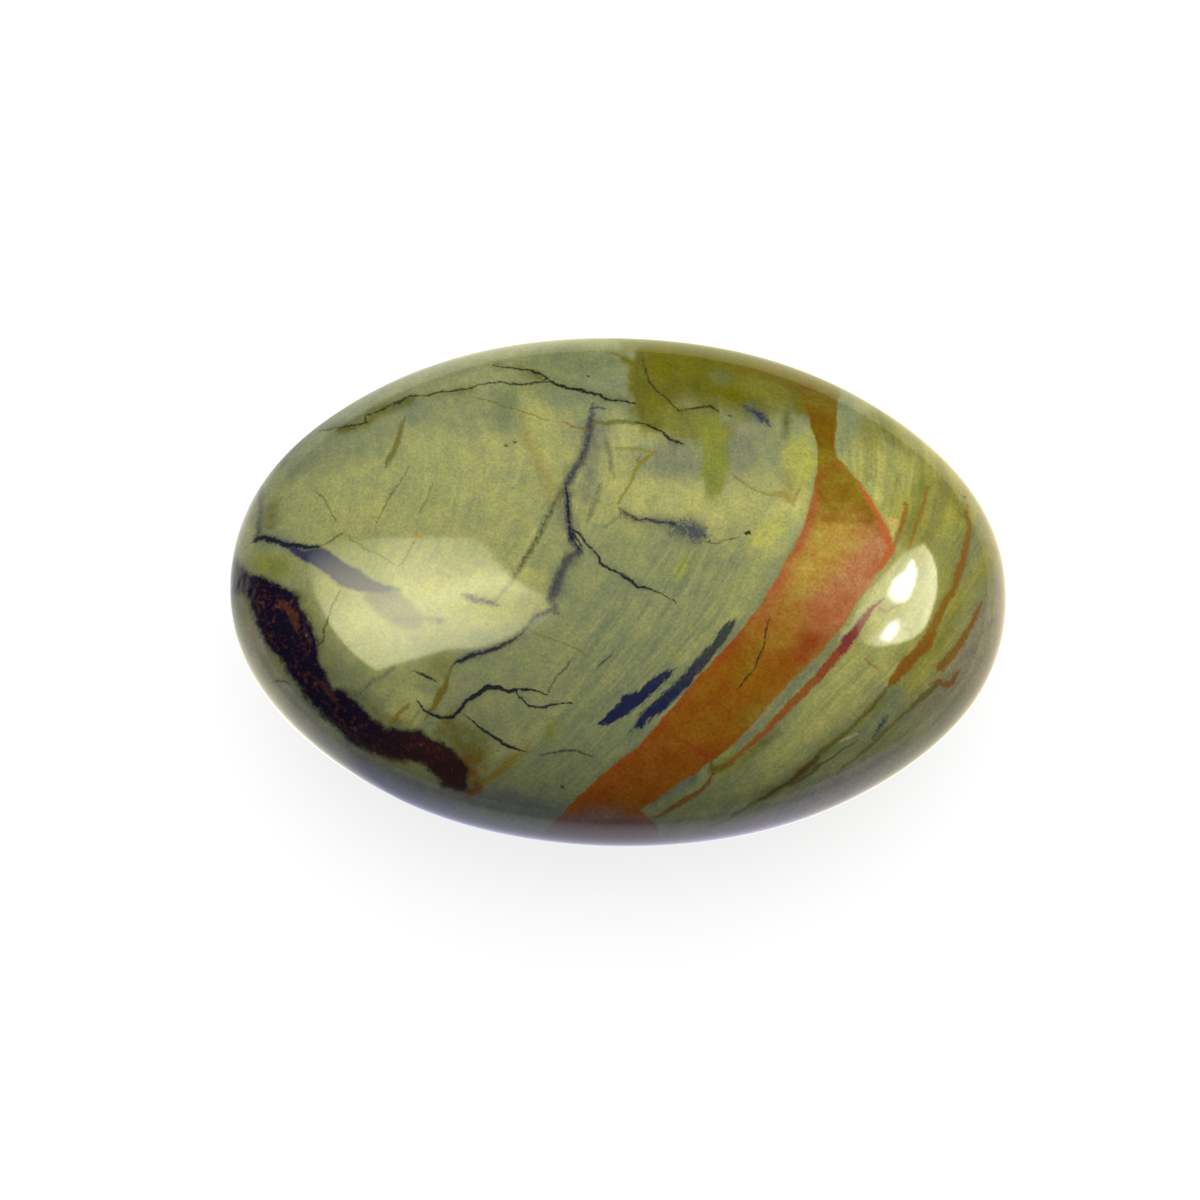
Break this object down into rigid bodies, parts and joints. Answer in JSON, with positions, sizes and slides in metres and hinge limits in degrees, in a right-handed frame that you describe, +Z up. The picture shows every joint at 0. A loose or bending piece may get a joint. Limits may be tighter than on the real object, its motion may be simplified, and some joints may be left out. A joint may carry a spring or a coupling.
{
  "type": "palm stone",
  "caption": "Smooth oval palm stone of polished jasper, domed above and below, with a small flat underneath to rest on.",
  "frame": {"origin": "middle of the small flat under the stone, where it rests on a table", "axes": "+X along the stone's length, +Y across its width, +Z up through the crown"},
  "size_m": [0.065, 0.043, 0.022],
  "materials": {
    "jasper": "polished"
  },
  "bodies": {
    "root": {"palm_stone": "jasper"}
  },
  "joints": []
}
